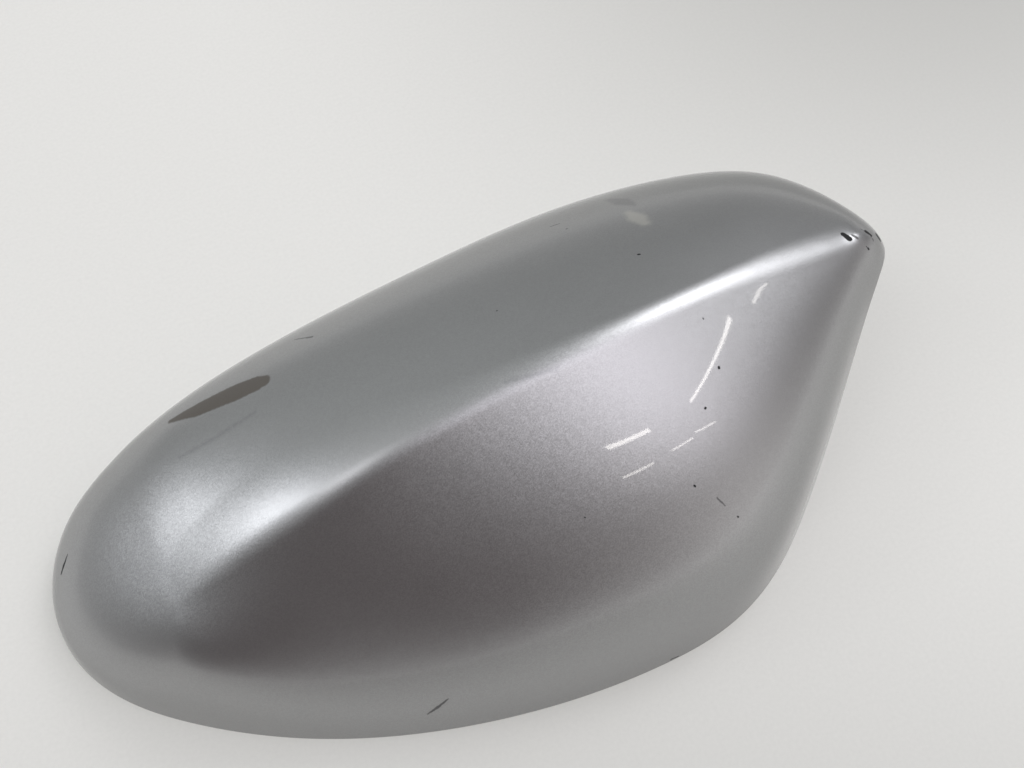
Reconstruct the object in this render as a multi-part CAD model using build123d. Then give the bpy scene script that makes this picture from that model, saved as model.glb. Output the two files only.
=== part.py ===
from build123d import *
import os
from math import cos, hypot, radians, tan

import numpy as np

# Door mirror cover, one moulding, lying on its rim. Millimetres.
# X runs from the outboard end to the inboard tip, Y to the top of the mirror, Z up from the rim.
# The skin hangs on three guide lines: the crease, the shoulder and the rim.

# Crease, from where it fades at the outboard end to just short of the inboard tip
CREASE = [(-82, -9.5, 32.5), (-50, -7.5, 52), (-8, -1.5, 62.5), (38, 6, 62.5), (80, 15, 55), (109, 20, 47.5)]

# Rim on each side of the crease points. From the second point on, a shoulder height
# says where the wall, carried up, would meet the face that comes down from the crease.
LOWER_RIM = [(-88, -32), (-52, -49), (-10, -57.6), (29, -57.6), (66.5, -44), (114, 3)]
LOWER_SHOULDER = [24, 33, 42, 44, 41]
UPPER_RIM = [(-88, 42), (-46, 56), (2, 66.5), (50, 74.5), (97, 71), (122, 46)]
UPPER_SHOULDER = [47, 47, 43, 39, 37]

# Rim round the outboard end, and the slopes along X and Y of the face that falls to it
OUTBOARD_RIM = [(-108.3, -14), (-115.5, 8), (-107.5, 29)]
OUTBOARD_FALL = 0.6
OUTBOARD_TILT = 0.18
OUTBOARD_DROP = 1.5

# Rim at the inboard tip
TIP_RIM = (129, 20.5)
TIP_SHOULDER = 41

# Roundness: how far along each leg, from the crease or the rim to the shoulder, the skin is drawn.
# The crease has a share for each of its points, and sharpens towards the tip.
CREASE_SOFTNESS = [0.2, 0.2, 0.1, 0.06, 0.06, 0.06]
FACE_FULLNESS = 0.42
WALL_FULLNESS = 0.6

WALL = 2.6
DRAFT_ANGLE = 6.0

# Arch that lifts the inboard edge clear of the mirror's arm
ARCH_PEAK_Y = 20.0
ARCH_PEAK_Z = 39.0
ARCH_LOWER_FOOT_Y = -37.0
ARCH_UPPER_FOOT_Y = 66.0
ARCH_PEAK_RADIUS = 13.0
ARCH_FOOT_RADIUS = 22.0
ARCH_FOOT_RUN = 30.0
ARCH_FOOT_DEPTH = 0.3
ARCH_START_X = 62.0

# Cross ribs that follow the inner face and stop short of the rim
RIB_PLACES = [-55, -8, 40]
RIB_THICKNESS = 1.6
RIB_HEIGHT = 4.0
RIB_END_HEIGHT = 16.0

# Snap hooks, each behind the point of the rim's inner edge that is nearest to its place
HOOK_PLACES = [(44, -53), (-25, -53), (-72, -38), (-113, 7), (-65, 48), (16, 67), (75, 72)]
HOOK_WIDTH = 12.0
HOOK_THICKNESS = 2.2
HOOK_STANDOFF = 6.0
HOOK_FOOT_HEIGHT = 3.0
HOOK_BARB = 2.0
HOOK_LEAD_IN = 4.0
GUSSET_THICKNESS = 1.8
GUSSET_FOOT_HEIGHT = 11.0

# Margin by which a cutter runs past the faces that it cuts
OVERRUN = 3.0

# The rim loop runs along the lower side to the outboard end, and back along the upper side to the tip
CREASE_COUNT = len(CREASE)
LOWER = list(range(CREASE_COUNT))
UPPER = [CREASE_COUNT + len(OUTBOARD_RIM) + i for i in range(CREASE_COUNT)]
TIP = UPPER[-1] + 1
LOOP_COUNT = TIP + 1
OUTBOARD_FAN = list(range(LOWER[-1], UPPER[0] + 1))
TIP_FAN = [UPPER[-1], TIP, LOWER[0]]


def chords(points):
    return np.linalg.norm(np.diff(points, axis=0), axis=1)


def spline_speeds(points, steps, ends=None):
    # Speeds at the points of the smoothest curve through them, closed unless end speeds are given
    count = len(points)
    matrix = np.zeros((count, count))
    target = np.zeros_like(points)
    for k in range(count):
        if ends is not None and k in (0, count - 1):
            matrix[k, k] = 1
            target[k] = ends[0] if k == 0 else ends[1]
            continue
        after = (k + 1) % count
        step_in = steps[k - 1]
        step_out = steps[k]
        matrix[k, k - 1] = step_out
        matrix[k, k] = 2 * (step_in + step_out)
        matrix[k, after] = step_in
        run_in = (points[k] - points[k - 1]) / step_in
        run_out = (points[after] - points[k]) / step_out
        target[k] = 3 * (step_out * run_in + step_in * run_out)
    return np.linalg.solve(matrix, target)


def span(points, speeds, steps, k):
    # Four control points of the curve from point k to the next
    after = (k + 1) % len(points)
    reach = steps[k] / 3
    return np.array([
        points[k],
        points[k] + speeds[k] * reach,
        points[after] - speeds[after] * reach,
        points[after],
    ])


def over_loop(points, speeds, steps):
    # A line that follows the crease out along the lower side and back along the upper, over each span of the loop
    lines = [span(points, speeds, steps, i) for i in range(CREASE_COUNT - 1)]
    outboard = [np.repeat(points[:1], 4, axis=0)] * (len(OUTBOARD_FAN) - 1)
    tip = [np.repeat(points[-1:], 4, axis=0)] * (len(TIP_FAN) - 1)
    return [line[::-1] for line in lines[::-1]] + outboard + lines + tip


def guide_points(inset):
    # Crease, shoulder and rim points of a skin that lies an inset inside the outer one
    crease = np.array(CREASE, float)
    rim = np.array(LOWER_RIM[::-1] + OUTBOARD_RIM + UPPER_RIM + [TIP_RIM], float)
    apex = np.array([crease[0]] * LOOP_COUNT)
    apex[LOWER] = crease[::-1]
    apex[UPPER] = crease
    apex[TIP] = crease[-1]
    inward = apex[:, :2] - rim
    inward /= np.linalg.norm(inward, axis=1)[:, None]

    height = np.zeros(LOOP_COUNT)
    height[LOWER[:-1]] = LOWER_SHOULDER[::-1]
    height[UPPER[1:]] = UPPER_SHOULDER
    height[TIP] = TIP_SHOULDER
    lean = tan(radians(DRAFT_ANGLE))
    fall = np.array([OUTBOARD_FALL, OUTBOARD_TILT])
    fall_level = crease[0, 2] - OUTBOARD_DROP - fall @ crease[0, :2]
    fan = OUTBOARD_FAN
    height[fan] = (rim[fan] @ fall + fall_level) / (1 - lean * (inward[fan] @ fall))
    shoulder = rim + inward * (height * lean)[:, None]

    # Every face moves in along its own normal
    slope = (apex[:, 2] - height) / np.linalg.norm(apex[:, :2] - shoulder, axis=1)
    slope[fan] = inward[fan] @ fall
    stretch = np.hypot(1, slope)
    stretch[fan] = hypot(1, *fall)
    sideways = inward * inset / cos(radians(DRAFT_ANGLE))
    rim = rim + sideways
    shoulder = shoulder + sideways
    height = height + inset * (slope / cos(radians(DRAFT_ANGLE)) - stretch)
    crease[:, 2] -= inset * (stretch[LOWER][::-1] + stretch[UPPER]) / 2
    return crease, np.column_stack([shoulder, height]), rim


def guide_spans(inset):
    # Control points of the ridge, crease, shoulder and rim over each span of the loop, and the crease's softness
    crease, shoulder, rim = guide_points(inset)
    steps = chords(np.vstack([rim, rim[:1]]))
    crease_steps = (steps[LOWER[:-1]][::-1] + steps[UPPER[:-1]]) / 2
    steps[LOWER[:-1]] = crease_steps[::-1]
    steps[UPPER[:-1]] = crease_steps

    still = np.zeros(3)
    crease_speeds = spline_speeds(crease, crease_steps, (still, still))
    rim_speeds = spline_speeds(rim, steps)
    speeds = spline_speeds(shoulder, steps)

    # Round each end the shoulder keeps to one plane, so the skin is smooth where the crease stops
    for fan in (OUTBOARD_FAN, TIP_FAN):
        corners = shoulder[[fan[0], fan[len(fan) // 2], fan[-1]]]
        normal = np.cross(corners[1] - corners[0], corners[2] - corners[0])
        speeds[fan, 2] = -(speeds[fan, :2] @ normal[:2]) / normal[2]
    for side in (LOWER, UPPER):
        ends = speeds[[side[0], side[-1]], 2]
        speeds[side, 2] = spline_speeds(shoulder[side, 2], steps[side[:-1]], ends)

    shoulders = [span(shoulder, speeds, steps, k) for k in range(LOOP_COUNT)]
    rims = [span(rim, rim_speeds, steps, k) for k in range(LOOP_COUNT)]
    apexes = over_loop(crease, crease_speeds, crease_steps)
    softness = np.array(CREASE_SOFTNESS, float)[:, None]
    softness_speeds = spline_speeds(softness, crease_steps, (0, 0))
    softs = over_loop(softness, softness_speeds, crease_steps)

    # The ridge is the crease drawn down by its rounding towards the shoulders on its two sides
    ridges = []
    for k in range(LOOP_COUNT):
        if k in OUTBOARD_FAN[:-1]:
            sides = shoulder[LOWER[-1]] + shoulder[UPPER[0]]
        elif k in TIP_FAN[:-1]:
            sides = shoulder[LOWER[0]] + shoulder[UPPER[-1]]
        else:
            opposite = UPPER[-1] - 1 - k
            sides = shoulders[k] + shoulders[opposite][::-1]
        ridges.append(apexes[k] + (sides - 2 * apexes[k]) * softs[k] / 4)
    return ridges, apexes, shoulders, rims, softs


def skin(inset):
    # Faces of a skin, two over each span, and its rim wire
    faces = []
    edges = []
    for ridge, apex, shoulder, rim, soft in zip(*guide_spans(inset)):
        rim = np.column_stack([rim, np.zeros(len(rim))])
        run = shoulder - apex
        bend = apex + run * soft
        strip = [ridge, apex + run * soft / 2, bend]
        side = [bend, apex + run * FACE_FULLNESS, shoulder, rim + (shoulder - rim) * WALL_FULLNESS, rim]
        for rows in (strip, side):
            faces.append(Face.make_bezier_surface([[tuple(point) for point in row] for row in rows]))
        edges.append(Edge.make_bezier(*[tuple(point) for point in rim]))
    return faces, Wire(edges)


def dome(inset):
    # Everything under a skin, down to the rim
    faces, rim = skin(inset)
    return Solid(Shell(faces + [Face(rim)]))


def plain_shell():
    # The wall between the outer and the inner skin, closed by the flat rim
    outer_faces, outer_rim = skin(0)
    inner_faces, inner_rim = skin(WALL)
    return Solid(Shell(outer_faces + inner_faces + [Face(outer_rim, [inner_rim])]))


def arch():
    # Prism that is cut out of the inboard wall, under a rounded peak and with flared feet
    low_end = ARCH_LOWER_FOOT_Y - ARCH_FOOT_RUN
    high_end = ARCH_UPPER_FOOT_Y + ARCH_FOOT_RUN
    floor = -ARCH_FOOT_DEPTH - OVERRUN
    corners = [(low_end, floor), (low_end, -ARCH_FOOT_DEPTH), (ARCH_LOWER_FOOT_Y, -ARCH_FOOT_DEPTH),
               (ARCH_PEAK_Y, ARCH_PEAK_Z), (ARCH_UPPER_FOOT_Y, -ARCH_FOOT_DEPTH),
               (high_end, -ARCH_FOOT_DEPTH), (high_end, floor)]
    radii = [0, 0, ARCH_FOOT_RADIUS, ARCH_PEAK_RADIUS, ARCH_FOOT_RADIUS, 0, 0]
    face = make_face(FilletPolyline(*corners, radius=radii, close=True))
    length = TIP_RIM[0] + OVERRUN - ARCH_START_X
    return extrude(Plane.YZ.offset(ARCH_START_X) * face, length)


def ribs(ceiling):
    # Cross ribs, from inside the wall to their own height under it
    top = ceiling.bounding_box().max.Z
    width = 2 * (max(y for x, y in UPPER_RIM) + OVERRUN)
    plate = Box(RIB_THICKNESS, width, top - RIB_END_HEIGHT, align=(Align.CENTER, Align.CENTER, Align.MIN))
    plates = [Pos(x, 0, RIB_END_HEIGHT) * plate for x in RIB_PLACES]
    floor = dome(WALL + RIB_HEIGHT)
    return [(blank & ceiling) - floor for blank in plates]


def hooks(ceiling):
    # Snap hooks that hang from the inner face, each tied to the side wall by a gusset
    top = ceiling.bounding_box().max.Z
    back = HOOK_STANDOFF
    front = HOOK_STANDOFF + HOOK_THICKNESS
    catch_height = HOOK_FOOT_HEIGHT + HOOK_LEAD_IN
    outline = [(back, top), (back, HOOK_FOOT_HEIGHT), (front, HOOK_FOOT_HEIGHT),
               (front + HOOK_BARB, catch_height), (front, catch_height), (front, top)]
    profile = make_face(Polyline(*outline, close=True))
    stem = extrude(Plane.XZ * profile, HOOK_WIDTH / 2, both=True)
    web_height = top - GUSSET_FOOT_HEIGHT
    web = Box(front + WALL, GUSSET_THICKNESS, web_height, align=(Align.MIN, Align.CENTER, Align.MIN))
    blank = stem + Pos(-WALL, 0, GUSSET_FOOT_HEIGHT) * web

    rims = [Edge.make_bezier(*[(x, y, 0) for x, y in rim]) for rim in guide_spans(WALL)[3]]
    pieces = []
    for x, y in HOOK_PLACES:
        line = min(rims, key=lambda edge: edge.distance_to(Vector(x, y, 0)))
        near = line.closest_points(Vector(x, y, 0))[0]
        along = line % line.param_at_point(near)
        seat = Plane(near, x_dir=along.rotate(Axis.Z, -90), z_dir=(0, 0, 1))
        pieces.append((seat * blank) & ceiling)
    return pieces


def mirror_cover():
    ceiling = dome(WALL / 2)
    cover = plain_shell() - arch()
    cover = cover + ribs(ceiling) + hooks(ceiling)
    box = cover.bounding_box()
    return Pos(-box.center().X, -box.center().Y, 0) * cover


os.makedirs("parts", exist_ok=True)
export_step(mirror_cover(), "parts/mirror_cover.step")
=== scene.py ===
from math import comb, cos, hypot, radians, sin, tan

import bpy
import numpy as np
from mathutils import Matrix, Vector


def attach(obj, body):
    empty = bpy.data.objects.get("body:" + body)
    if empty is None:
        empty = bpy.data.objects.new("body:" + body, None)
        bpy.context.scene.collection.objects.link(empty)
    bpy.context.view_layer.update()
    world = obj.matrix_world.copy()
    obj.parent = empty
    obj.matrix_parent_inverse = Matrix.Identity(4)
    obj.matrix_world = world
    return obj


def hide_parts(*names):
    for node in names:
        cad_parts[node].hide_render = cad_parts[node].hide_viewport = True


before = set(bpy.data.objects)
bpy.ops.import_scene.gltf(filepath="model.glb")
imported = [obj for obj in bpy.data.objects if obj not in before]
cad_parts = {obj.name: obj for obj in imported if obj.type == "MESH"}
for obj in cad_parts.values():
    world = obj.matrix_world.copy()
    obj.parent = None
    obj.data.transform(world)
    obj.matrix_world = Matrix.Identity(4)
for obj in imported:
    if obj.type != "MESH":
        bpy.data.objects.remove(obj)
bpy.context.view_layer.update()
millimetre = 0.001  # the drawing is in mm, and the frame in m
print("frame loaded")

# one moulded cover: the skin hangs on a crease, a shoulder and a rim (mm, in the drawing's own axes)
cover = {
    "crease": [(-82, -9.5, 32.5), (-50, -7.5, 52), (-8, -1.5, 62.5),
               (38, 6, 62.5), (80, 15, 55), (109, 20, 47.5)],
    "lowerRim": [(-88, -32), (-52, -49), (-10, -57.6), (29, -57.6), (66.5, -44), (114, 3)],
    "lowerShoulder": [24, 33, 42, 44, 41],
    "upperRim": [(-88, 42), (-46, 56), (2, 66.5), (50, 74.5), (97, 71), (122, 46)],
    "upperShoulder": [47, 47, 43, 39, 37],
    "outboardRim": [(-108.3, -14), (-115.5, 8), (-107.5, 29)],
    "outboardFall": (0.6, 0.18),  # slopes along X and Y of the face that falls to the outboard end
    "outboardDrop": 1.5,
    "tipRim": (129, 20.5),
    "tipShoulder": 41,
    "lowerSoftness": [0.17, 0.14, 0.08, 0.06, 0.08, 0.2],  # share of each face that the crease rounds off
    "upperSoftness": [0.18, 0.25, 0.13, 0.06, 0.08, 0.2],
    "faceFullness": 0.42,
    "wallFullness": 0.6,
    "wall": 2.6,
    "draftAngle": 6,
    "rimRadius": 0.5,
    "archLine": [(-67, -0.3), (-37, -0.3), (20, 39), (66, -0.3), (96, -0.3)],  # y, z
    "archRadii": [22, 13, 22],
    "archStart": 62,
    "archSteps": 40,
    "spanSteps": 24,
    "stripSteps": 8,
    "sideSteps": 46,
    "innerSteps": 26,
    "cornerSteps": 6,
    "endSteps": 500,  # steps along a column in the search for its end
    "pointFineness": 1e4,  # points that agree to one part of a mm in this many are one
    "sprayReach": 14,
    "eases": [((-82, -9.5, 32.5), (-82, -9.3, 32.5), 4), ((-85, 8, 33), (-86, 24, 31), 14),
              ((109, 20, 47.5), (109, 20.5, 47.5), 7)],  # line and reach of each smoothed place
    "easeSteps": 90,
    "easeFactor": 0.5,
    "easeLevels": 10,
}

creaseCount = len(cover["crease"])
outboardCount = len(cover["outboardRim"])
lowerSide = list(range(creaseCount))  # the loop: lower side to the outboard end, back along the upper side
upperSide = [creaseCount + outboardCount + i for i in range(creaseCount)]
tipPlace = upperSide[-1] + 1
loopCount = tipPlace + 1
outboardFan = list(range(lowerSide[-1], upperSide[0] + 1))
tipFan = [upperSide[-1], tipPlace, lowerSide[0]]


# speeds of the smoothest cubic through the points: the bend matches on both sides of each point
def splineSpeeds(points, steps, ends=None):
    count = len(points)
    matrix = np.zeros((count, count))
    target = np.zeros_like(points)
    for k in range(count):
        if ends is not None and k in (0, count - 1):
            matrix[k, k] = 1
            target[k] = ends[0] if k == 0 else ends[1]
            continue
        after = (k + 1) % count
        stepIn, stepOut = steps[k - 1], steps[k]
        matrix[k, k - 1] = stepOut
        matrix[k, k] = 2 * (stepIn + stepOut)
        matrix[k, after] = stepIn
        runIn = (points[k] - points[k - 1]) / stepIn
        runOut = (points[after] - points[k]) / stepOut
        target[k] = 3 * (stepOut * runIn + stepIn * runOut)
    return np.linalg.solve(matrix, target)


# control points of every span: a third of the way along the speed at each end
def spanControls(points, speeds, steps):
    after = np.roll(points, -1, 0)
    afterSpeeds = np.roll(speeds, -1, 0)
    reach = (np.asarray(steps) / 3)[:, None]
    return np.stack([points, points + speeds * reach, after - afterSpeeds * reach, after], 1)


# crease, shoulder and rim points of a skin moved in by an inset, each face along its own normal
def guidePoints(inset):
    crease = np.array(cover["crease"], float)
    rim = cover["lowerRim"][::-1] + cover["outboardRim"] + cover["upperRim"] + [cover["tipRim"]]
    rim = np.array(rim, float)
    apex = np.array([crease[0]] * loopCount)
    apex[lowerSide] = crease[::-1]
    apex[upperSide] = crease
    apex[tipPlace] = crease[-1]
    inward = apex[:, :2] - rim
    inward /= np.linalg.norm(inward, axis=1)[:, None]
    height = np.zeros(loopCount)
    height[lowerSide[:-1]] = cover["lowerShoulder"][::-1]
    height[upperSide[1:]] = cover["upperShoulder"]
    height[tipPlace] = cover["tipShoulder"]
    lean = tan(radians(cover["draftAngle"]))
    fall = np.array(cover["outboardFall"])
    fallLevel = crease[0, 2] - cover["outboardDrop"] - fall @ crease[0, :2]
    fan = outboardFan
    height[fan] = (rim[fan] @ fall + fallLevel) / (1 - lean * (inward[fan] @ fall))
    shoulder = rim + inward * (height * lean)[:, None]
    slope = (apex[:, 2] - height) / np.linalg.norm(apex[:, :2] - shoulder, axis=1)
    slope[fan] = inward[fan] @ fall
    stretch = np.hypot(1, slope)
    stretch[fan] = hypot(1, *fall)
    steep = cos(radians(cover["draftAngle"]))
    sideways = inward * inset / steep
    height = height + inset * (slope / steep - stretch)
    crease[:, 2] -= inset * (stretch[lowerSide][::-1] + stretch[upperSide]) / 2
    return crease, np.column_stack([shoulder + sideways, height]), rim + sideways


# a line that follows the crease out on the lower side and back on the upper, for each span of the loop
def overLoop(points, speeds, steps):
    lines = spanControls(points, speeds, np.append(steps, 1))[:-1]
    outboard = np.repeat(points[None, :1], len(outboardFan) - 1, 0).repeat(4, 1)
    tip = np.repeat(points[None, -1:], len(tipFan) - 1, 0).repeat(4, 1)
    return np.concatenate([lines[::-1, ::-1], outboard, lines, tip])


# control points of seven lines for each span: ridge, half bend, bend, face, shoulder, wall and rim
def guideSpans(inset):
    crease, shoulder, rim = guidePoints(inset)
    steps = np.linalg.norm(np.roll(rim, -1, 0) - rim, axis=1)
    creaseSteps = (steps[lowerSide[:-1]][::-1] + steps[upperSide[:-1]]) / 2
    steps[lowerSide[:-1]] = creaseSteps[::-1]
    steps[upperSide[:-1]] = creaseSteps
    creaseSpeeds = splineSpeeds(crease, creaseSteps, (np.zeros(3), np.zeros(3)))
    rimSpeeds = splineSpeeds(rim, steps)
    speeds = splineSpeeds(shoulder, steps)
    for fan in (outboardFan, tipFan):  # round each end the shoulder keeps to one plane
        corners = shoulder[[fan[0], fan[len(fan) // 2], fan[-1]]]
        normal = np.cross(corners[1] - corners[0], corners[2] - corners[0])
        speeds[fan, 2] = -(speeds[fan, :2] @ normal[:2]) / normal[2]
    for side in (lowerSide, upperSide):
        ends = speeds[[side[0], side[-1]], 2]
        speeds[side, 2] = splineSpeeds(shoulder[side, 2], steps[side[:-1]], ends)
    shoulders = spanControls(shoulder, speeds, steps)
    rims = spanControls(np.column_stack([rim, np.zeros(loopCount)]),
                        np.column_stack([rimSpeeds, np.zeros(loopCount)]), steps)
    apexes = overLoop(crease, creaseSpeeds, creaseSteps)
    softness = [np.array(cover[name])[:, None] for name in ("lowerSoftness", "upperSoftness")]
    facing, softs = (overLoop(row, splineSpeeds(row, creaseSteps, (0, 0)), creaseSteps) for row in softness)
    sides = np.empty_like(apexes)  # sum of the shoulders that face each other across the crease
    lowerSpans = np.array(lowerSide[:-1])
    upperSpans = np.array(upperSide[:-1])
    softs[lowerSpans], facing[lowerSpans] = facing[lowerSpans].copy(), softs[lowerSpans].copy()
    sides[lowerSpans] = shoulders[lowerSpans] + shoulders[upperSpans[::-1], ::-1]
    sides[upperSpans] = shoulders[upperSpans] + shoulders[lowerSpans[::-1], ::-1]
    sides[outboardFan[:-1]] = shoulder[lowerSide[-1]] + shoulder[upperSide[0]]
    sides[tipFan[:-1]] = shoulder[lowerSide[0]] + shoulder[upperSide[-1]]
    ridges = apexes + (sides - 2 * apexes) * softs * facing / (softs + facing) / 2
    runs = shoulders - apexes
    return (ridges, apexes + runs * softs / 2, apexes + runs * softs, apexes + runs * cover["faceFullness"],
            shoulders, rims + (shoulders - rims) * cover["wallFullness"], rims)


# weights of a Bezier curve: choose(n, i) t^i (1 - t)^(n - i)
def bezierWeights(degree, t):
    return np.stack([comb(degree, i) * t**i * (1 - t)**(degree - i) for i in range(degree + 1)], -1)


# each column of the skin: three control points over the crease, five from there over the shoulder to the rim
def skinColumns(inset):
    weights = bezierWeights(3, np.linspace(0, 1, cover["spanSteps"], endpoint=False))
    lines = [np.einsum("tj,kjx->ktx", weights, line).reshape(-1, 3) for line in guideSpans(inset)]
    strip = np.stack(lines[:3], 1)
    side = np.stack(lines[2:], 1)
    return strip, side


# arch outline: straight runs joined by arcs, read as a height over y
def archHeight(points):
    line = np.array(cover["archLine"], float)
    rounded = [line[:1]]
    for i, radius in enumerate(cover["archRadii"], 1):
        a = (line[i - 1] - line[i]) / np.linalg.norm(line[i - 1] - line[i])
        b = (line[i + 1] - line[i]) / np.linalg.norm(line[i + 1] - line[i])
        half = np.arccos(a @ b) / 2
        centre = line[i] + (a + b) / np.linalg.norm(a + b) * radius / sin(half)
        start = line[i] + a * radius / tan(half) - centre
        end = line[i] + b * radius / tan(half) - centre
        turn = np.arccos(start @ end / radius**2)
        share = np.linspace(0, 1, cover["archSteps"])[:, None]
        swung = np.sin((1 - share) * turn) * start + np.sin(share * turn) * end
        rounded.append(centre + swung / sin(turn))
    rounded = np.concatenate(rounded + [line[-1:]])
    height = np.interp(points[..., 1], rounded[:, 0], rounded[:, 1])
    return np.where(points[..., 0] > cover["archStart"], np.maximum(height, 0), 0)


# where each column ends: the first share of it whose height falls to the arch, or to the rim
def columnEnds(side):
    touching, smallest = 1e-9, 1e-12  # mm
    shares = np.linspace(0, 1, cover["endSteps"])
    points = np.einsum("tj,cjx->ctx", bezierWeights(4, shares), side)
    gap = points[..., 2] - archHeight(points)
    first = np.argmax(gap <= touching, axis=1)
    pick = np.arange(len(side))
    above, below = gap[pick, first - 1], gap[pick, first]
    step = shares[first] - shares[first - 1]
    return shares[first - 1] + step * above / np.maximum(above - below, smallest)


# points of a skin on a grid of columns and rows, cut off a little short of the edge, and the edge itself
def skinGrid(inset, sideSteps, back):
    strip, side = skinColumns(inset)
    ends = columnEnds(side)
    edge = np.einsum("cj,cjx->cx", bezierWeights(4, ends), side)
    nudge = 1e-3  # share of a column over which its length at the edge is measured
    near = np.einsum("cj,cjx->cx", bezierWeights(4, ends - nudge), side)
    ends = ends - nudge * back / np.linalg.norm(edge - near, axis=1)
    stripShares = np.linspace(0, 1, cover["stripSteps"], endpoint=False)
    stripRows = np.einsum("tj,cjx->ctx", bezierWeights(2, stripShares), strip)
    shares = np.linspace(0, 1, sideSteps + 1)[None] * ends[:, None]
    sideRows = np.einsum("crj,cjx->crx", bezierWeights(4, shares), side)
    return np.concatenate([stripRows, sideRows], 1), edge


# quarter round: a quadratic Bezier with the sharp corner as its middle control point
def roundCorner(before, corner, after):
    weights = bezierWeights(2, np.linspace(0, 1, cover["cornerSteps"])[1:-1])
    return np.einsum("tj,jcx->ctx", weights, np.stack([before, corner, after]))


# mesh of a grid that closes round its columns; equal points become one, and folded squares triangles
def gridMesh(name, grid):
    columns, rows = grid.shape[:2]
    points = grid.reshape(-1, 3)
    number = np.arange(columns * rows).reshape(columns, rows)
    nextColumn = np.roll(number, -1, 0)
    a, b = number[:, :-1], number[:, 1:]
    c, d = nextColumn[:, 1:], nextColumn[:, :-1]
    squares = np.stack([a, b, c, d], -1).reshape(-1, 4)
    squareRow = np.tile(np.arange(rows - 1), columns)
    places = np.round(points * cover["pointFineness"]).astype(np.int64)
    _, first, same = np.unique(places, axis=0, return_index=True, return_inverse=True)
    squares = same.reshape(-1)[squares]
    top = squares[:, 0] == squares[:, 3]
    bottom = squares[:, 1] == squares[:, 2]
    whole = ~(top | bottom)
    topThree, bottomThree = squares[top][:, :3], squares[bottom][:, [0, 1, 3]]
    faces = squares[whole].tolist() + topThree.tolist() + bottomThree.tolist()
    faceRow = np.concatenate([squareRow[whole], squareRow[top], squareRow[bottom]])
    mesh = bpy.data.meshes.new(name)
    mesh.from_pydata((points[first] * millimetre).tolist(), [], faces)
    mesh.shade_smooth()
    mesh.update()
    return mesh, first, faceRow


# signed volume of a closed mesh, from its triangles' corners
def meshVolume(mesh):
    mesh.calc_loop_triangles()
    corners = np.empty(len(mesh.loop_triangles) * 3, np.int32)
    mesh.loop_triangles.foreach_get("vertices", corners)
    places = np.empty(len(mesh.vertices) * 3)
    mesh.vertices.foreach_get("co", places)
    triangles = places.reshape(-1, 3)[corners.reshape(-1, 3)]
    turned = np.cross(triangles[:, 1], triangles[:, 2])
    return (triangles[:, 0] * turned).sum() / 6


# drawing axes to the frame: the plain skin's box is centred as the solid's is
plainSkin = skinGrid(0, cover["sideSteps"], 0)[0].reshape(-1, 3)
boxLow = plainSkin.min(0)
boxHigh = plainSkin.max(0)
shift = np.array([-(boxLow[0] + boxHigh[0]) / 2, -(boxLow[1] + boxHigh[1]) / 2, 0])
print("drawing moved by", shift.round(3), "size", (boxHigh - boxLow).round(2))


# smoothing of the skin where the crease runs out: full on a short line, and none beyond the reach
def easeEnds(piece):
    places = np.empty(len(piece.data.vertices) * 3)
    piece.data.vertices.foreach_get("co", places)
    places = places.reshape(-1, 3) / millimetre - shift
    weight = np.zeros(len(places))
    for start, end, reach in cover["eases"]:
        along = np.subtract(end, start)
        share = np.clip((places - start) @ along / (along @ along), 0, 1)
        gap = np.linalg.norm(places - start - share[:, None] * along, axis=1)
        weight = np.maximum(weight, 1 - gap / reach)
    levels = cover["easeLevels"]
    level = np.round(levels * weight).astype(int)
    group = piece.vertex_groups.new(name="creaseEnds")
    for step in range(1, levels + 1):
        group.add(np.flatnonzero(level == step).tolist(), step / levels, "REPLACE")
    ease = piece.modifiers.new("creaseEnds", "SMOOTH")
    ease.vertex_group = group.name
    ease.factor = cover["easeFactor"]
    ease.iterations = cover["easeSteps"]


# outer skin, rounded rim and inner skin as one closed surface
def buildCover():
    radius = cover["rimRadius"]
    outer, outerEdge = skinGrid(0, cover["sideSteps"], radius)
    inner, innerEdge = skinGrid(cover["wall"], cover["innerSteps"], radius)
    across = innerEdge - outerEdge
    across /= np.linalg.norm(across, axis=1)[:, None]
    outerFlat = outerEdge + across * radius
    innerFlat = innerEdge - across * radius
    outerCorner = roundCorner(outer[:, -1], outerEdge, outerFlat)
    innerCorner = roundCorner(innerFlat, innerEdge, inner[:, -1])
    parts = [outer, outerCorner, outerFlat[:, None], innerFlat[:, None], innerCorner, inner[:, ::-1]]
    grid = np.concatenate(parts, 1) + shift
    innerStart = sum(part.shape[1] for part in parts[:-1])
    runs = np.linalg.norm(np.diff(grid[:, innerStart:], axis=1), axis=2)
    depth = np.zeros(grid.shape[:2])
    depth[:, innerStart + 1:] = np.cumsum(runs, axis=1)
    near = np.clip(1 - depth / cover["sprayReach"], 0, 1)  # for the overspray inside
    mesh, first, faceRow = gridMesh("mirrorCover", grid)
    if meshVolume(mesh) < 0:
        mesh.flip_normals()
    rimNear = mesh.attributes.new("rimNear", "FLOAT", "POINT")
    rimNear.data.foreach_set("value", near.reshape(-1)[first].astype(np.float32))
    mesh.polygons.foreach_set("material_index", (faceRow >= innerStart - 1).astype(np.int32))
    piece = bpy.data.objects.new("mirrorCover", mesh)
    bpy.context.scene.collection.objects.link(piece)
    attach(piece, "root")
    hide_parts("mirror_cover")
    easeEnds(piece)
    print("cover skin:", len(mesh.vertices), "points, volume", round(meshVolume(mesh) * 1e6, 1), "cm3")
    return piece


coverPiece = buildCover()

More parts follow.
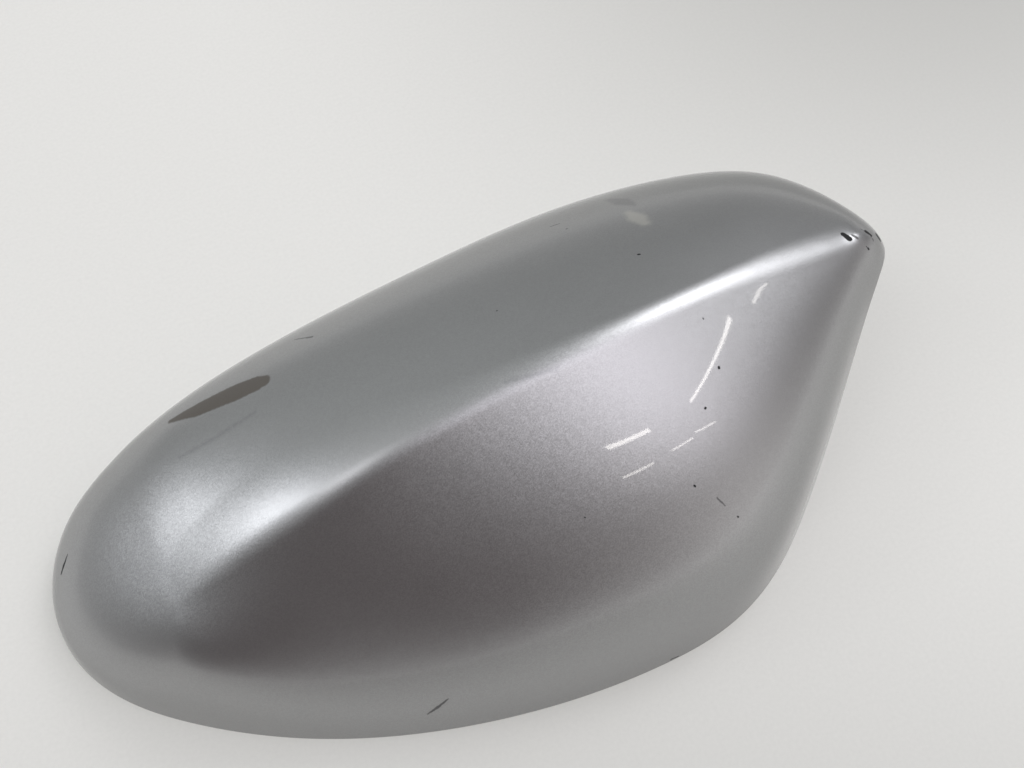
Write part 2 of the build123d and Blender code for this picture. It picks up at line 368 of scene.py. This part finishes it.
# inside fittings, in mm
ribs = {
    "places": [-55, -8, 40],
    "thickness": 1.6,
    "height": 4,
    "endHeight": 16,
    "stations": 60,
    "stripSteps": 6,
    "sideSteps": 60,
}
hooks = {
    "places": [(44, -53), (-25, -53), (-72, -38), (-113, 7), (-65, 48), (16, 67), (75, 72)],  # near the rim
    "width": 12,
    "thickness": 2.2,
    "standoff": 6,
    "foot": 3,
    "barb": 2,
    "leadIn": 4,
    "web": 1.8,
    "webFoot": 11,
    "webMargin": 0.1,
    "webOverlap": 0.2,
    "webSteps": 16,
    "probeStart": -1,
    "probeSteps": 60,
    "acrossSteps": 7,
    "rimSteps": 500,
    "faceSteps": 160,
}
edges = {"radius": 0.25, "segments": 2}


# ring of corners carried along stations, closed with a cap at each end
def carriedRing(grid, start):
    stations, corners = grid.shape[:2]
    number = start + np.arange(stations * corners).reshape(stations, corners)
    turned = np.roll(number, -1, 1)
    squares = np.stack([number[:-1], number[1:], turned[1:], turned[:-1]], -1).reshape(-1, 4)
    return squares.tolist() + [number[0].tolist(), number[-1, ::-1].tolist()]


# several carried rings as one piece, with small rounded edges
def ringPiece(name, grids):
    starts = np.cumsum([0] + [grid.shape[0] * grid.shape[1] for grid in grids])
    faces = [face for grid, start in zip(grids, starts) for face in carriedRing(grid, int(start))]
    points = np.concatenate([grid.reshape(-1, 3) for grid in grids]) + shift
    mesh = bpy.data.meshes.new(name)
    mesh.from_pydata((points * millimetre).tolist(), [], faces)
    mesh.update()
    if meshVolume(mesh) < 0:
        mesh.flip_normals()
    piece = bpy.data.objects.new(name, mesh)
    bpy.context.scene.collection.objects.link(piece)
    edge = piece.modifiers.new("edges", "BEVEL")
    edge.width = edges["radius"] * millimetre
    edge.segments = edges["segments"]
    edge.limit_method = "ANGLE"
    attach(piece, "root")
    print(name, len(mesh.vertices), "points")
    return piece


# section of a skin at one x: on each row, y and z read where the row passes it, lower rim to upper rim
def skinSection(inset, x):
    strip, side = skinColumns(inset)
    stripWeights = bezierWeights(2, np.linspace(0, 1, ribs["stripSteps"], endpoint=False))
    sideWeights = bezierWeights(4, np.linspace(0, 1, ribs["sideSteps"]))
    rows = np.concatenate([np.einsum("tj,cjx->ctx", stripWeights, strip),
                           np.einsum("tj,cjx->ctx", sideWeights, side)], 1)
    steps = cover["spanSteps"]
    lower = rows[:lowerSide[-1] * steps + 1][::-1]
    upper = rows[upperSide[0] * steps:upperSide[-1] * steps + 1]
    halves = []
    for half in (lower, upper):
        yz = [[np.interp(x, row[:, 0], row[:, k]) for k in (1, 2)] for row in half.transpose(1, 0, 2)]
        halves.append(np.array(yz))
    return np.concatenate([halves[0][::-1], halves[1][1:]])


# a section kept above a height and shared out evenly along its length
def sectionLine(inset, x, floor, stations):
    line = skinSection(inset, x)
    along = np.append(0, np.cumsum(np.linalg.norm(np.diff(line, axis=0), axis=1)))
    crest = int(np.argmax(line[:, 1]))
    start = np.interp(floor, line[:crest, 1], along[:crest])
    end = np.interp(floor, line[crest:, 1][::-1], along[crest:][::-1])
    places = np.linspace(start, end, stations)
    return np.column_stack([np.interp(places, along, line[:, 0]), np.interp(places, along, line[:, 1])])


# ribs: a flat bar under the inner face, from inside the wall to the rib's own height
def buildRibs():
    grids = []
    for x in ribs["places"]:
        top = sectionLine(cover["wall"] / 2, x, ribs["endHeight"], ribs["stations"])
        low = sectionLine(cover["wall"] + ribs["height"], x, ribs["endHeight"], ribs["stations"])
        half = np.full((ribs["stations"], 1), ribs["thickness"] / 2)
        corners = [np.hstack([x - half, top]), np.hstack([x + half, top]),
                   np.hstack([x + half, low]), np.hstack([x - half, low])]
        grids.append(np.stack(corners, 1))
    return ringPiece("crossRibs", grids)


# height of the middle of the wall over a place: the nearest point of that skin and its tangent plane
def ceilingHeight(places):
    side = skinColumns(cover["wall"] / 2)[1]
    weights = bezierWeights(4, np.linspace(0, 1, hooks["faceSteps"]))
    slopes = np.gradient(weights, axis=0)
    points = np.einsum("tj,cjx->ctx", weights, side)
    down = np.einsum("tj,cjx->ctx", slopes, side)
    along = np.roll(points, -1, 0) - np.roll(points, 1, 0)
    normal = np.cross(along, down).reshape(-1, 3)
    points = points.reshape(-1, 3)
    flat = places.reshape(-1, 2)
    near = np.argmin(((flat[:, None] - points[None, :, :2])**2).sum(2), axis=1)
    offset = flat - points[near, :2]
    height = points[near, 2] - (normal[near, :2] * offset).sum(1) / normal[near, 2]
    return height.reshape(places.shape[:-1])


# hooks: a bar with a barb, hung from the inner face, and a web that ties it to the side wall
def buildHooks():
    rims = guideSpans(cover["wall"])[-1]
    shares = np.linspace(0, 1, hooks["rimSteps"])
    line = np.einsum("tj,kjx->ktx", bezierWeights(3, shares), rims)
    back = hooks["standoff"]
    front = back + hooks["thickness"]
    catch = hooks["foot"] + hooks["leadIn"]
    profileX = np.array([back, back, front, front + hooks["barb"], front, front])
    profileZ = np.array([0, hooks["foot"], hooks["foot"], catch, catch, 0])
    rooted = [0, 5]  # the corners of the profile that run up into the wall
    grids = []
    for place in hooks["places"]:
        gaps = np.linalg.norm(line[..., :2] - place, axis=2)
        span, step = np.unravel_index(np.argmin(gaps), gaps.shape)
        seat = line[span, step]
        along = bezierWeights(2, shares[step]) @ np.diff(rims[span], axis=0)
        along = along[:2] / np.linalg.norm(along[:2])
        inward = np.array([along[1], -along[0]])
        across = np.linspace(-0.5, 0.5, hooks["acrossSteps"]) * hooks["width"]
        flat = seat[:2] + across[:, None, None] * along + profileX[None, :, None] * inward
        heights = np.tile(profileZ, (len(across), 1))
        heights[:, rooted] = ceilingHeight(flat[:, rooted])
        grids.append(np.dstack([flat, heights]))
        probe = np.linspace(hooks["probeStart"], back, hooks["probeSteps"])
        rise = ceilingHeight(seat[:2] + probe[:, None] * inward)
        webStart = np.interp(hooks["webFoot"] + hooks["webMargin"], rise, probe)
        reach = np.linspace(webStart, back + hooks["webOverlap"], hooks["webSteps"])
        sides = np.array([-0.5, 0.5, 0.5, -0.5]) * hooks["web"]
        flat = seat[:2] + reach[:, None, None] * inward + sides[None, :, None] * along
        heights = np.full(flat.shape[:2], float(hooks["webFoot"]))
        heights[:, 2:] = ceilingHeight(flat[:, 2:])
        grids.append(np.dstack([flat, heights]))
    return ringPiece("snapHooks", grids)


ribPiece = buildRibs()
hookPiece = buildHooks()


# camera: where the photograph was taken from, in mm in the drawing's axes
shot = {
    "azimuth": -20,
    "elevation": 60,
    "distance": 405,
    "target": (19.75, 33.5, 0),
    "lens": 50,
    "sensor": 36,
    "nearest": 10,
}


def buildCamera():
    a, e = radians(shot["azimuth"]), radians(shot["elevation"])
    back = Vector((sin(a) * cos(e), -cos(a) * cos(e), sin(e)))
    data = bpy.data.cameras.new("shot")
    data.lens = shot["lens"]
    data.sensor_width = shot["sensor"]
    data.clip_start = shot["nearest"] * millimetre
    camera = bpy.data.objects.new("shot", data)
    camera.location = (Vector(shot["target"]) + Vector(shift) + back * shot["distance"]) * millimetre
    camera.rotation_mode = "QUATERNION"
    camera.rotation_quaternion = (-back).to_track_quat("-Z", "Y")
    bpy.context.scene.collection.objects.link(camera)
    bpy.context.scene.camera = camera
    print("camera set")


buildCamera()


# one shader node: an input that is a socket is linked, and any other is set
def addNode(tree, kind, inputs, **settings):
    node = tree.nodes.new("ShaderNode" + kind)
    for name, value in settings.items():
        setattr(node, name, value)
    for name, value in inputs.items():
        if isinstance(value, bpy.types.NodeSocket):
            tree.links.new(value, node.inputs[name])
        else:
            node.inputs[name].default_value = value
    return node


# arithmetic on single values and on vectors
def addMath(tree, operation, *values, **settings):
    return addNode(tree, "Math", dict(enumerate(values)), operation=operation, **settings).outputs["Value"]


def addVector(tree, operation, *values):
    node = addNode(tree, "VectorMath", dict(enumerate(values)), operation=operation)
    return node.outputs["Value" if operation in ("DOT_PRODUCT", "DISTANCE") else "Vector"]


# a vector or colour times a value
def addScaled(tree, vector, scale):
    return addNode(tree, "VectorMath", {0: vector, "Scale": scale}, operation="SCALE").outputs["Vector"]


# blend of two values or two colours: a + share (b - a)
def addMix(tree, share, a, b):
    node = addNode(tree, "Mix", {"Factor": share, 2: a, 3: b})
    return node.outputs[0]


def addTint(tree, share, a, b):
    node = addNode(tree, "Mix", {0: share, 6: a, 7: b}, data_type="RGBA")
    return node.outputs[2]


# smooth step of a value, from 0 at one end of a range to 1 at the other
def addStep(tree, value, low, high):
    inputs = {"Value": value, "From Min": low, "From Max": high}
    return addNode(tree, "MapRange", inputs, interpolation_type="SMOOTHSTEP").outputs["Result"]


# cloudy noise from 0 to 1, and the same about 0
def addNoise(tree, place, scale, detail=2):
    return addNode(tree, "TexNoise", {"Vector": place, "Scale": scale, "Detail": detail}).outputs["Fac"]


def addUneven(tree, place, scale, detail=2):
    return addMath(tree, "SUBTRACT", addNoise(tree, place, scale, detail), 0.5)


# an empty node group, its given values and its results
def newGroup(name, inputs, outputs):
    tree = bpy.data.node_groups.new(name, "ShaderNodeTree")
    for title, kind in inputs:
        tree.interface.new_socket(title, in_out="INPUT", socket_type="NodeSocket" + kind)
    for title, kind in outputs:
        tree.interface.new_socket(title, in_out="OUTPUT", socket_type="NodeSocket" + kind)
    return tree, tree.nodes.new("NodeGroupInput").outputs, tree.nodes.new("NodeGroupOutput").inputs


# one stroke of a mark, wear and painted reflections alike: how far a place lies outside the line from start
# to end, whose width tapers
def buildStroke():
    tree, given, result = newGroup(
        "wearAndReflectionStroke",
        [("Place", "Vector"), ("Start", "Vector"), ("End", "Vector"), ("Start Width", "Float"),
         ("End Width", "Float")],
        [("Gap", "Float")])
    offset = addVector(tree, "SUBTRACT", given["Place"], given["Start"])
    along = addVector(tree, "SUBTRACT", given["End"], given["Start"])
    reach = addVector(tree, "DOT_PRODUCT", offset, along)
    share = addMath(tree, "DIVIDE", reach, addVector(tree, "DOT_PRODUCT", along, along), use_clamp=True)
    away = addVector(tree, "DISTANCE", offset, addScaled(tree, along, share))
    width = addMix(tree, share, given["Start Width"], given["End Width"])
    tree.links.new(addMath(tree, "MULTIPLY_ADD", width, -0.5, away), result["Gap"])
    return tree


dots = {"leastRadius": 0.3, "spread": 0.4, "steepness": 3}  # radii as shares of the size of a speck


# specks: in some of the cells of a jittered grid, a dot round the cell's own point
def buildSpecks():
    tree, given, result = newGroup(
        "dustSpecks", [("Place", "Vector"), ("Spacing", "Float"), ("Size", "Float"), ("Share", "Float")],
        [("Mask", "Float")])
    scale = addMath(tree, "DIVIDE", 1, given["Spacing"])
    cells = addNode(tree, "TexVoronoi", {"Vector": given["Place"], "Scale": scale})
    parts = addNode(tree, "SeparateColor", {"Color": cells.outputs["Color"]}).outputs
    gap = addMath(tree, "MULTIPLY", cells.outputs["Distance"], given["Spacing"])
    chance = addMath(tree, "MULTIPLY_ADD", parts["Green"], dots["spread"], dots["leastRadius"])
    radius = addMath(tree, "MULTIPLY", given["Size"], chance)
    near = addMath(tree, "SUBTRACT", 1, addMath(tree, "DIVIDE", gap, radius), use_clamp=True)
    dot = addMath(tree, "MULTIPLY", near, dots["steepness"], use_clamp=True)
    chosen = addMath(tree, "LESS_THAN", parts["Red"], given["Share"])
    tree.links.new(addMath(tree, "MULTIPLY", dot, chosen), result["Mask"])
    return tree


wearAndReflectionStroke = buildStroke()
dustSpecks = buildSpecks()


# specks with a material's own spacing, size and share
def addSpecks(tree, place, values):
    inputs = {"Place": place, "Spacing": values[0], "Size": values[1], "Share": values[2]}
    return addNode(tree, "Group", inputs, node_tree=dustSpecks).outputs["Mask"]


# a new material, its nodes, its shader and the place on the piece
def newMaterial(name):
    material = bpy.data.materials.new(name)
    material.use_nodes = True
    tree = material.node_tree
    place = tree.nodes.new("ShaderNodeTexCoord").outputs["Object"]
    return material, tree, tree.nodes["Principled BSDF"], place


# paint: silver flake under clear lacquer
paint = {
    "silver": (0.385, 0.387, 0.392),
    "metal": 0.98,
    "roughness": 0.36,
    "edgeTint": 0.45,
    "flakeSize": 0.00024,
    "flakeTilt": 0.06,
    "flakeSpread": 0.14,
    "peelSize": 0.004,
    "peelDepth": 0.00002,
    "mottle": 0.04,
    "mottleScale": 60,
    "waverScale": 1.1,
    "lacquerRoughness": 0.03,
    "specks": (0.007, 0.0004, 0.05),  # spacing and size in m, and the share of places that have one
    "speckDepth": 0.6,
    "speckColour": (0.05, 0.05, 0.05, 1),
}

# wear on the paint, and painted reflections of things in the room, in mm in the drawing's axes: lines of
# points, each with its width there
marks = {
    # painted reflection: a dark thing in the room mirrored in the lacquer, drawn as a brownish dark streak
    # along the upper edge
    "paintedDarkReflection": {
        "lines": [[((-71.9, 33.2, 36), 1.5), ((-64.5, 31.9, 39.7), 5), ((-54.1, 31, 43.6), 6.4),
                   ((-49, 30.5, 45.4), 5.6), ((-47, 30.2, 46.1), 4.2)]],
        "softness": 0.4,
        "waver": 0.5,
        "colour": (0.09, 0.08, 0.066),
        "depth": 0.92,
        "roughness": 0.5,
        "dropsFlakeAndLacquer": True,
    },
    # painted reflections in the first two lines: a faint dark line under the streak, and the dark half of a
    # mirrored blob; the third line is a smear on the crease
    "smearAndPaintedReflections": {
        "lines": [[((-71.9, 20.2, 39.8), 0.5), ((-62.1, 20.2, 43.8), 0.7), ((-51.2, 21.5, 47.6), 0.3)],
                  [((56.4, 56.9, 40.6), 2), ((58.6, 53.5, 42.8), 5), ((60.4, 50.3, 44.7), 2)],
                  [((6.5, 0.7, 62.3), 0.6), ((12, 0.2, 62.4), 1), ((18.7, 0.2, 62.2), 0.5)]],
        "softness": 1,
        "waver": 1.5,
        "colour": (0.23, 0.235, 0.24),
        "depth": 0.55,
        "roughness": 0.4,
        "dropsFlakeAndLacquer": False,
    },
    # painted reflection: the light half of a blob mirrored in the lacquer near the upper edge
    "paintedLightReflection": {
        "lines": [[((57.6, 46.5, 47), 2.5), ((58.4, 43.5, 48.4), 5), ((59.2, 40.5, 49.7), 3)]],
        "softness": 1.2,
        "waver": 1.2,
        "colour": (0.62, 0.61, 0.57),
        "depth": 0.7,
        "roughness": 0.45,
        "dropsFlakeAndLacquer": False,
    },
    "scratches": {
        "lines": [[((-33.4, -52.4, 10.4), 0.4), ((-30.6, -52.3, 12.8), 1), ((-27.8, -52.1, 15.4), 0.4)],
                  [((46.7, -35.9, 42.6), 0.3), ((48.2, -37.8, 40.8), 0.4)],
                  [((-36.2, 41.6, 42.4), 0.4), ((-32, 39.1, 45.1), 0.9)],
                  [((-5.9, 53, 38.1), 0.3), ((-2.2, 53.9, 37.7), 0.5)],
                  [((37, 51.1, 44.6), 0.3), ((39.6, 51.2, 44.6), 0.4)],
                  [((11, -0.8, 62.4), 0.3), ((11.7, -2.4, 62.1), 0.3)],
                  [((109.6, 20.6, 47), 0.5), ((111, 18.9, 46.3), 0.8)],
                  [((113.8, 21.7, 45.2), 0.5), ((116, 18.6, 43.4), 0.7)]],
        "softness": 0.15,
        "waver": 0.5,
        "colour": (0.055, 0.055, 0.055),
        "depth": 0.75,
        "roughness": 0.5,
        "dropsFlakeAndLacquer": True,
    },
    "chips": {
        "lines": [[((107.8, 21, 47.2), 1.6), ((108.7, 19.2, 46.9), 1.7)],
                  [((114.9, 20.9, 44.6), 1.3), ((115.8, 19.9, 43.8), 1.1)],
                  [((118.8, 20.8, 41), 1.8), ((119.4, 20.1, 40.2), 1.6)],
                  [((112.9, 16.8, 44.3), 0.5), ((113.5, 16.2, 43.7), 0.7)],
                  [((-106.5, 15.7, 17.5), 0.4), ((-108, 14, 16), 0.8), ((-109.5, 12.4, 14.5), 0.5)],
                  [((29.9, -57.4, 1.4), 0.5), ((31.9, -57.2, 1.1), 0.5)],
                  [((57.9, -8.5, 53.9), 0.6), ((57.8, -8.7, 53.8), 0.6)],
                  [((50.9, -16.9, 52.1), 0.5), ((50.8, -17, 52), 0.5)],
                  [((58.6, 3.7, 57.6), 0.4), ((58.6, 3.5, 57.5), 0.4)],
                  [((42, -32.4, 45.6), 0.5), ((42.1, -32.5, 45.5), 0.5)],
                  [((14.2, -31.5, 46.7), 0.4), ((14.3, -31.6, 46.6), 0.4)],
                  [((50.8, -40.3, 37.9), 0.5), ((50.9, -40.4, 37.8), 0.5)],
                  [((52, 28.5, 54.8), 0.6), ((52.3, 28.4, 54.8), 0.5)],
                  [((-6.7, 41.4, 47.6), 0.4), ((-6.5, 41.4, 47.6), 0.4)],
                  [((12, 23.5, 56.8), 0.4), ((12.2, 23.5, 56.8), 0.4)],
                  [((40, 47.4, 46.9), 0.4), ((40.2, 47.4, 46.9), 0.4)]],
        "softness": 0.12,
        "waver": 0.5,
        "colour": (0.006, 0.006, 0.007),
        "depth": 1,
        "roughness": 0.55,
        "dropsFlakeAndLacquer": True,
    },
}


# mask of one kind of mark, wear and painted reflections alike: full inside the nearest of its strokes, whose
# edge wavers and is soft
def wearAndReflectionMask(tree, drawing, uneven, kind):
    gaps = []
    for line in kind["lines"]:
        for (start, startWidth), (end, endWidth) in zip(line, line[1:]):
            inputs = {"Place": drawing, "Start": start, "End": end, "Start Width": startWidth,
                      "End Width": endWidth}
            gaps.append(addNode(tree, "Group", inputs, node_tree=wearAndReflectionStroke).outputs["Gap"])
    nearest = gaps[0]
    for gap in gaps[1:]:
        nearest = addMath(tree, "MINIMUM", nearest, gap)
    edge = addMath(tree, "MULTIPLY_ADD", uneven, kind["waver"], nearest)
    mask = addStep(tree, edge, kind["softness"], -kind["softness"])
    return addMath(tree, "MULTIPLY", mask, kind["depth"])


# paint nodes: silver that mottles a little, each flake's own tilt, then the wear and the painted reflections
# laid over in turn
def buildPaint():
    material, tree, shader, place = newMaterial("silverPaint")
    toDrawing = {"Vector": place, "Scale": (1 / millimetre,) * 3, "Location": [-part for part in shift]}
    drawing = addNode(tree, "Mapping", toDrawing).outputs["Vector"]
    uneven = addUneven(tree, drawing, paint["waverScale"])
    cloud = addUneven(tree, place, paint["mottleScale"], detail=4)
    cells = addNode(tree, "TexVoronoi", {"Vector": place, "Scale": 1 / paint["flakeSize"]})
    lean = addVector(tree, "SUBTRACT", cells.outputs["Color"], (0.5, 0.5, 0.5))
    bright = addVector(tree, "DOT_PRODUCT", lean, (paint["flakeSpread"], 0, 0))
    level = addMath(tree, "ADD", addMath(tree, "MULTIPLY_ADD", cloud, paint["mottle"], 1), bright)
    colour = addScaled(tree, paint["silver"], level)
    roughness = addMath(tree, "MULTIPLY_ADD", cloud, paint["mottle"], paint["roughness"])
    flakeAndLacquerOff = addMath(tree, "MULTIPLY", addSpecks(tree, place, paint["specks"]), paint["speckDepth"])
    colour = addTint(tree, flakeAndLacquerOff, colour, paint["speckColour"])
    # each kind of mark, wear and painted reflections alike, tints the colour; some also take away flake and
    # lacquer
    for kind in marks.values():
        mask = wearAndReflectionMask(tree, drawing, uneven, kind)
        colour = addTint(tree, mask, colour, (*kind["colour"], 1))
        roughness = addMix(tree, mask, roughness, kind["roughness"])
        if kind["dropsFlakeAndLacquer"]:
            flakeAndLacquerOff = addMath(tree, "MAXIMUM", flakeAndLacquerOff, mask)
    tilt = addScaled(tree, lean, paint["flakeTilt"])
    surface = tree.nodes.new("ShaderNodeNewGeometry").outputs["Normal"]
    flakes = addVector(tree, "NORMALIZE", addVector(tree, "ADD", surface, tilt))
    peel = addNoise(tree, place, 1 / paint["peelSize"], detail=1)
    bump = addNode(tree, "Bump", {"Height": peel, "Distance": paint["peelDepth"], "Normal": flakes})
    tree.links.new(colour, shader.inputs["Base Color"])
    tree.links.new(roughness, shader.inputs["Roughness"])
    tree.links.new(addMix(tree, flakeAndLacquerOff, paint["metal"], 0.0), shader.inputs["Metallic"])
    tree.links.new(addMath(tree, "SUBTRACT", 1, flakeAndLacquerOff, use_clamp=True), shader.inputs["Coat Weight"])
    tree.links.new(bump.outputs["Normal"], shader.inputs["Normal"])
    shader.inputs["Specular Tint"].default_value = (paint["edgeTint"],) * 3 + (1,)
    shader.inputs["Coat Roughness"].default_value = paint["lacquerRoughness"]
    return material


# bare plastic: a fine moulded grain, flow marks, dust, and silver overspray that thins out from the rim
plastic = {
    "grey": (0.03, 0.031, 0.034),
    "flow": (0.05, 0.051, 0.054),
    "roughness": 0.48,
    "grainSize": 0.0006,
    "grainDepth": 0.00004,
    "overspray": (0.3, 0.302, 0.306),
    "sprayEdge": (0.35, 0.9),  # shares of the attribute rimNear, which falls from 1 at the rim to 0
    "specks": (0.006, 0.0005, 0.12),
    "speckDepth": 0.5,
    "dust": (0.2, 0.19, 0.17, 1),
    "cloudScale": 160,
    "cloudRoughness": 0.15,
    "sprayWaver": 0.5,
    "sprayMetal": 0.7,
    "flowStretch": (8, 40, 40),
    "flowEdge": (0.45, 0.7),
}


def buildPlastic():
    material, tree, shader, place = newMaterial("barePlastic")
    near = addNode(tree, "Attribute", {}, attribute_name="rimNear").outputs["Fac"]
    cloud = addUneven(tree, place, plastic["cloudScale"], detail=4)
    edge = addMath(tree, "MULTIPLY_ADD", cloud, plastic["sprayWaver"], near)
    spray = addStep(tree, edge, *plastic["sprayEdge"])
    drawn = addNode(tree, "Mapping", {"Vector": place, "Scale": plastic["flowStretch"]}).outputs["Vector"]
    flow = addStep(tree, addNoise(tree, drawn, 1, detail=3), *plastic["flowEdge"])
    colour = addTint(tree, flow, (*plastic["grey"], 1), (*plastic["flow"], 1))
    dust = addMath(tree, "MULTIPLY", addSpecks(tree, place, plastic["specks"]), plastic["speckDepth"])
    colour = addTint(tree, dust, colour, plastic["dust"])
    colour = addTint(tree, spray, colour, (*plastic["overspray"], 1))
    grain = addNoise(tree, place, 1 / plastic["grainSize"], detail=3)
    roughness = addMath(tree, "MULTIPLY_ADD", cloud, plastic["cloudRoughness"], plastic["roughness"])
    bump = addNode(tree, "Bump", {"Height": grain, "Distance": plastic["grainDepth"]})
    tree.links.new(colour, shader.inputs["Base Color"])
    tree.links.new(roughness, shader.inputs["Roughness"])
    tree.links.new(addMath(tree, "MULTIPLY", spray, plastic["sprayMetal"]), shader.inputs["Metallic"])
    tree.links.new(bump.outputs["Normal"], shader.inputs["Normal"])
    return material


# table: pale board with a faint grain and a little dust, painted shade round two places, lifted where it is
# seen
table = {
    "colour": (0.5, 0.496, 0.479),
    # painted shade: the colour the board darkens to round each middle below, standing in for shade on the
    # table
    "paintedShadeColour": (0.15, 0.147, 0.14),
    "paintedShadeSpots": [((0.24, 0.18, 0), 0.28), ((-0.05, -0.3, 0), 0.4)],  # middle and reach of each
    "lift": (0.322, 0.322, 0.31),
    "grain": 0.16,
    "grainScale": 900,
    "grainRoughness": 0.1,
    "roughness": 0.5,
    "size": 6,
    "specks": (0.09, 0.0011, 0.12),
    "speckColour": (0.25, 0.24, 0.22, 1),
}


def buildTable():
    material, tree, shader, place = newMaterial("paleTable")
    colour = (*table["colour"], 1)
    # painted shade: darker towards each middle, the board's colour fading to the shade colour within its
    # reach
    for middle, reach in table["paintedShadeSpots"]:
        away = addVector(tree, "DISTANCE", place, middle)
        colour = addTint(tree, addStep(tree, away, reach, 0), colour, (*table["paintedShadeColour"], 1))
    grain = addUneven(tree, place, table["grainScale"], detail=4)
    level = addMath(tree, "MULTIPLY_ADD", grain, table["grain"], 1)
    colour = addScaled(tree, colour, level)
    colour = addTint(tree, addSpecks(tree, place, table["specks"]), colour, table["speckColour"])
    roughness = addMath(tree, "MULTIPLY_ADD", grain, table["grainRoughness"], table["roughness"])
    ray = tree.nodes.new("ShaderNodeLightPath").outputs
    seen = addMath(tree, "ADD", ray["Is Camera Ray"], ray["Is Glossy Ray"], use_clamp=True)
    seen = addMath(tree, "ADD", seen, ray["Is Transmission Ray"], use_clamp=True)
    tree.links.new(colour, shader.inputs["Base Color"])
    tree.links.new(roughness, shader.inputs["Roughness"])
    tree.links.new(seen, shader.inputs["Emission Strength"])
    shader.inputs["Emission Color"].default_value = (*table["lift"], 1)
    half = table["size"] / 2
    mesh = bpy.data.meshes.new("table")
    corners = [(-half, -half, 0), (half, -half, 0), (half, half, 0), (-half, half, 0)]
    mesh.from_pydata(corners, [], [(0, 1, 2, 3)])
    top = bpy.data.objects.new("table", mesh)
    top.data.materials.append(material)
    bpy.context.scene.collection.objects.link(top)


silverPaint = buildPaint()
barePlastic = buildPlastic()
coverPiece.data.materials.append(silverPaint)
coverPiece.data.materials.append(barePlastic)
for piece in (ribPiece, hookPiece):
    piece.data.materials.append(barePlastic)
buildTable()
print("materials set")

# ceiling tubes: both ends in m over the cover, a share of the power in W for a square metre, and the width
tubes = {
    "height": 1.5,
    "power": 34,
    "colour": (1, 0.97, 0.92),
    "lines": [((1.5, -0.04), (1.01, -0.46), 1, 0.013), ((0.45, -0.74), (0.69, -0.63), 0.95, 0.02),
              ((0.46, -0.98), (0.65, -0.89), 0.7, 0.017), ((0.78, -0.81), (0.95, -0.74), 0.7, 0.015),
              ((0.99, -0.69), (1.17, -0.65), 0.7, 0.015), ((1.86, 0.16), (1.76, 0.09), 0.75, 0.011)],
}
room = {
    "level": 0.027,
    "horizon": 0.55,
    "horizonPower": 7,
    "tint": (1, 0.99, 0.985),
    "glows": [  # soft lights: towards, level at the middle, sharpness, colour
        {"towards": (0.6, 0.36, 0.715), "level": 6.8, "sharpness": 44, "colour": (0.97, 0.97, 1)},
        {"towards": (0.37, -0.15, 0.92), "level": 2.4, "sharpness": 25, "colour": (0.96, 0.92, 1)},
        {"towards": (-0.75, 0.28, 0.6), "level": 5.6, "sharpness": 90, "colour": (0.94, 0.96, 1)},
        {"towards": (-0.48, 0.08, 0.87), "level": 2, "sharpness": 50, "colour": (0.97, 0.97, 1)},
        {"towards": (0.68, -0.65, 0.33), "level": 0.75, "sharpness": 5, "colour": (1, 0.96, 0.95)},
        {"towards": (-0.19, 0.56, 0.8), "level": 0.57, "sharpness": 2, "colour": (0.965, 1, 0.99)},
        {"towards": (-0.35, -0.72, 0.6), "level": 0.075, "sharpness": 2, "colour": (1, 0.7, 0.71)},
    ],
}


# a flat lamp turned to face one way, its long side along another
def addLamp(name, place, facing, along, size, power, colour):
    data = bpy.data.lights.new(name, "AREA")
    data.shape = "RECTANGLE"
    data.size, data.size_y = size
    data.energy = power
    data.color = colour
    holder = bpy.data.objects.new(name, data)
    back = -Vector(facing).normalized()
    side = (Vector(along) - back * Vector(along).dot(back)).normalized()
    turn = Matrix((side, back.cross(side), back)).transposed()
    holder.matrix_world = Matrix.Translation(place) @ turn.to_4x4()
    bpy.context.scene.collection.objects.link(holder)


# tubes: each faces the cover from its middle, with power by its area
def buildLamps():
    for i, (start, end, share, width) in enumerate(tubes["lines"]):
        a, b = (Vector((*point, tubes["height"])) for point in (start, end))
        middle, length = (a + b) / 2, (b - a).length
        power = tubes["power"] * length * width * share
        addLamp(f"tube{i}", middle, -middle, b - a, (length, width), power, tubes["colour"])


# room: an even level, lighter to the horizon as a power of 1 - z, and soft glows as powers of the cosine
def buildRoom():
    world = bpy.data.worlds.new("room")
    world.use_nodes = True
    tree = world.node_tree
    direction = tree.nodes.new("ShaderNodeTexCoord").outputs["Generated"]
    rise = addVector(tree, "DOT_PRODUCT", direction, (0, 0, 1))
    band = addMath(tree, "POWER", addMath(tree, "SUBTRACT", 1, rise, use_clamp=True), room["horizonPower"])
    level = addMath(tree, "MULTIPLY_ADD", band, room["horizon"], room["level"])
    total = addScaled(tree, room["tint"], level)
    for glow in room["glows"]:
        cosine = addVector(tree, "DOT_PRODUCT", direction, Vector(glow["towards"]).normalized())
        fall = addMath(tree, "POWER", addMath(tree, "MAXIMUM", cosine, 0), glow["sharpness"])
        light = addScaled(tree, [part * glow["level"] for part in glow["colour"]], fall)
        total = addVector(tree, "ADD", total, light)
    tree.links.new(total, tree.nodes["Background"].inputs["Color"])
    bpy.context.scene.world = world


buildLamps()
buildRoom()
bpy.context.scene.view_settings.view_transform = "Standard"
print("lamps and room set")
